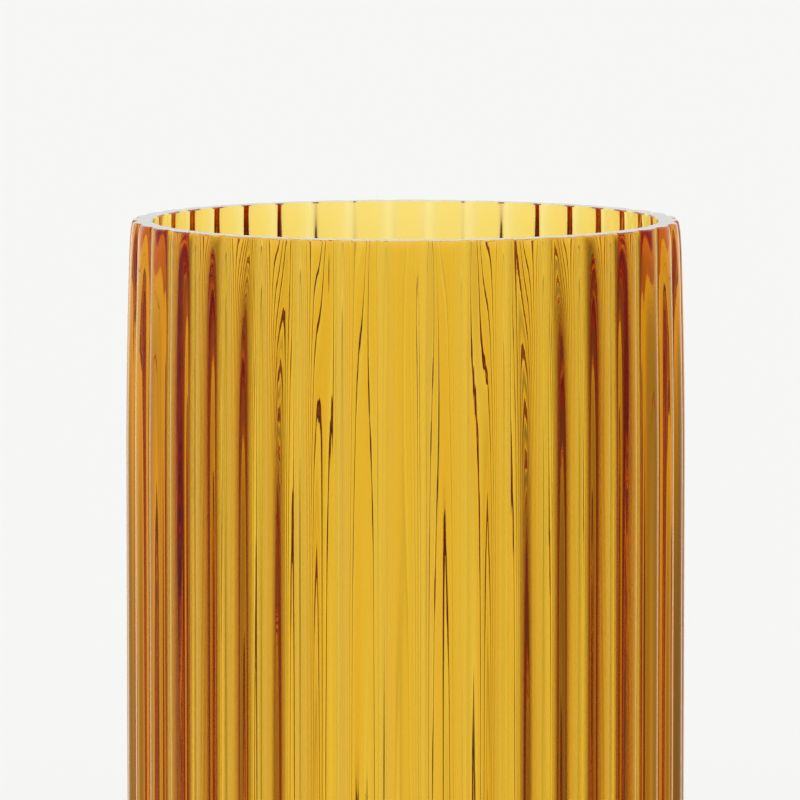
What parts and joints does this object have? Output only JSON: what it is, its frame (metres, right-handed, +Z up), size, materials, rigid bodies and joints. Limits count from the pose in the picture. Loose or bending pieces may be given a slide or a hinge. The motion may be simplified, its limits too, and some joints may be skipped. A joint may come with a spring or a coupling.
{
  "type": "ribbed glass vase",
  "caption": "Straight-sided cylinder vase in solid amber glass, with convex vertical ribs outside that the inside follows gently, a heavy floor and a flat ground rim.",
  "frame": {"origin": "middle of the foot ring, on the surface the vase stands on", "axes": "+Z up along the vase's own axis; a rib crest lies on +X and every 9 degrees round from it"},
  "size_m": [0.144, 0.144, 0.205],
  "materials": {
    "amber_glass": "clear amber glass coloured all the way through, fire-polished inside and out, with fine upright draw lines and small seed bubbles; the rim and the foot ring are ground flat and polished"
  },
  "bodies": {
    "root": {"glass_body": "amber_glass"}
  },
  "joints": []
}
